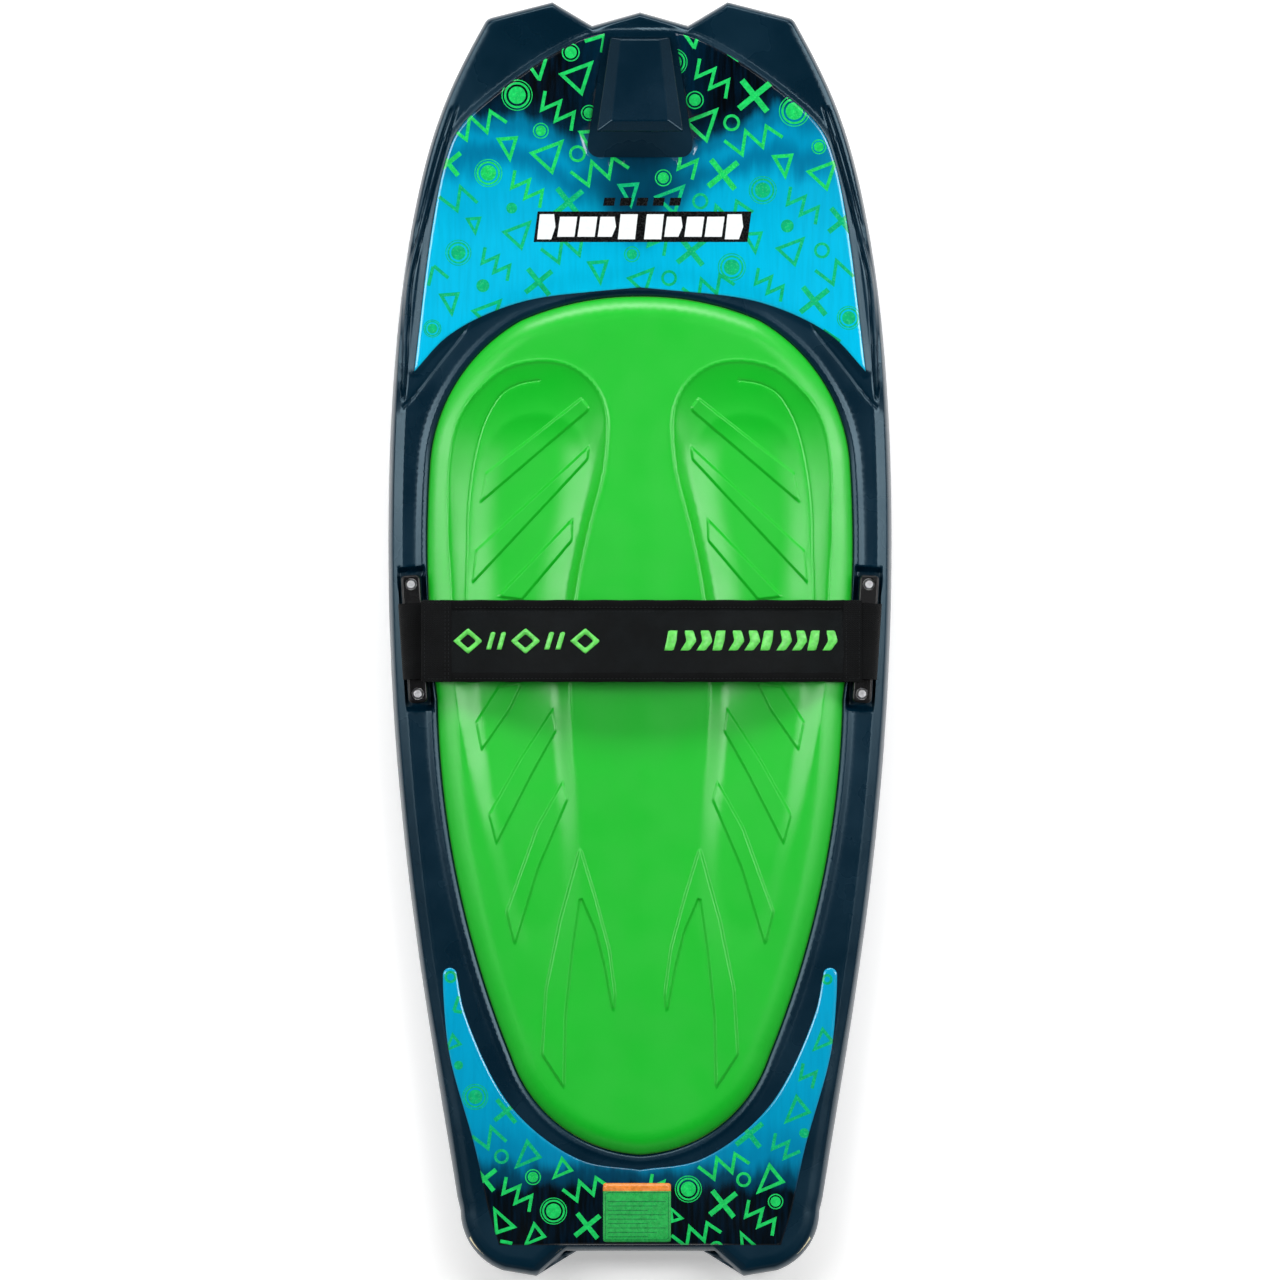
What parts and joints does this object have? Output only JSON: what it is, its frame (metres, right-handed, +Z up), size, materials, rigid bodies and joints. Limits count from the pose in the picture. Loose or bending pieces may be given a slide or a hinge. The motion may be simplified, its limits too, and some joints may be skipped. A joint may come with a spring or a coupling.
{
  "type": "kneeboard",
  "caption": "Hollow moulded kneeboard with notched nose and tail, contoured foam knee pad, nose tow hook and padded thigh strap that swings open.",
  "frame": {"origin": "on the ground under the middle of the board's bounding box, hull resting on its flat", "axes": "+Z up, +Y towards the nose, +X to the kneeling rider's right"},
  "size_m": [0.5061, 1.275, 0.1432],
  "materials": {
    "hull_plastic": "satin",
    "hull_foam": "matte",
    "plug_rubber": "matte",
    "nose_film": "gloss",
    "tail_film": "gloss",
    "label_vinyl": "satin",
    "pad_foam": "satin",
    "hook_plastic": "satin",
    "bracket_plastic": "satin",
    "screw_steel": "polished",
    "insert_brass": "satin",
    "webbing": "matte",
    "strap_foam": "matte",
    "sleeve_fabric": "matte",
    "binding_tape": "matte",
    "patch_fabric": "matte"
  },
  "bodies": {
    "board": {"board_shell": "hull_plastic", "foam_core": "hull_foam", "fill_plug": "plug_rubber", "nose_graphic": "nose_film", "tail_graphic": "tail_film", "tail_label": "label_vinyl", "knee_pad": "pad_foam", "tow_hook": "hook_plastic", "strap_bracket_left": "bracket_plastic", "strap_bracket_right": "bracket_plastic", "bracket_screws": "screw_steel", "bracket_washers": "screw_steel", "threaded_inserts": "insert_brass"},
    "strap": {"strap_webbing": "webbing", "strap_foam_under": "strap_foam", "strap_foam_over": "strap_foam", "strap_sleeve": "sleeve_fabric", "sleeve_binding_front": "binding_tape", "sleeve_binding_rear": "binding_tape", "pull_tab": "patch_fabric", "loop_patch": "patch_fabric", "anchor_patch": "patch_fabric"},
    "tab": {"tab_webbing": "webbing", "hook_patch": "patch_fabric"}
  },
  "joints": [
    {"name": "strap_swing", "type": "hinge", "parent": "board", "child": "strap", "pos_m": [0.226, 0.001, 0.068], "axis": [0.0628, 0.998, 0], "range_deg": [0, 110]},
    {"name": "tab_swing", "type": "hinge", "parent": "board", "child": "tab", "pos_m": [-0.226, 0.001, 0.068], "axis": [0.0628, -0.998, 0], "range_deg": [0, 55]}
  ],
  "couplings": [
    {"joint": "tab_swing", "follows": "strap_swing", "ratio": 0.5}
  ]
}
